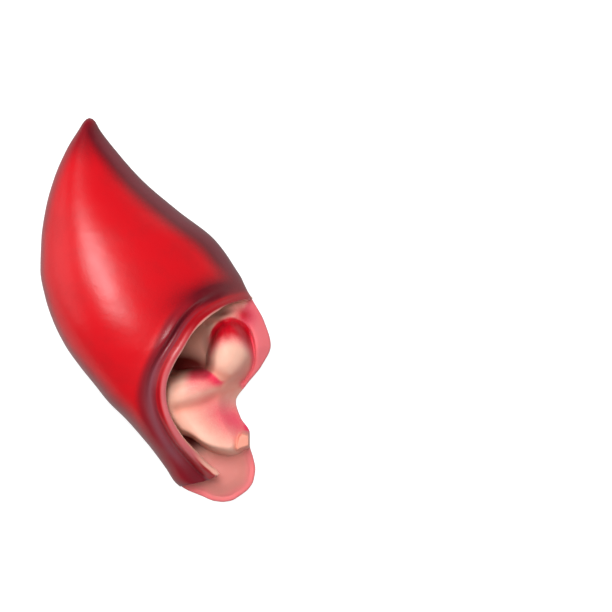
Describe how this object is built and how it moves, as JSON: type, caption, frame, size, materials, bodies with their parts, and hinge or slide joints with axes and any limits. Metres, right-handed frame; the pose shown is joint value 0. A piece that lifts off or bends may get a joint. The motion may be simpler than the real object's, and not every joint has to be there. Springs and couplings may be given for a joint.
{
  "type": "pointed costume ear",
  "caption": "Slip-on pointed costume ear: a smooth hood with a rolled lip over a modelled inner ear and lobe, open behind for the wearer's ear.",
  "frame": {"origin": "centre of the bounding box, on the flat back", "axes": "+Z out of the ear's face, away from the head; +Y from the lobe to the pointed tip; +X from the ear's back edge to its front edge, next to the cheek"},
  "size_m": [0.0744, 0.125, 0.036],
  "materials": {
    "red_latex": "satin red paint over latex, airbrushed dark along the edges",
    "flesh_latex": "satin flesh-coloured latex with red airbrushing on the folds"
  },
  "bodies": {
    "root": {"ear_casting": "red_latex"}
  },
  "joints": []
}
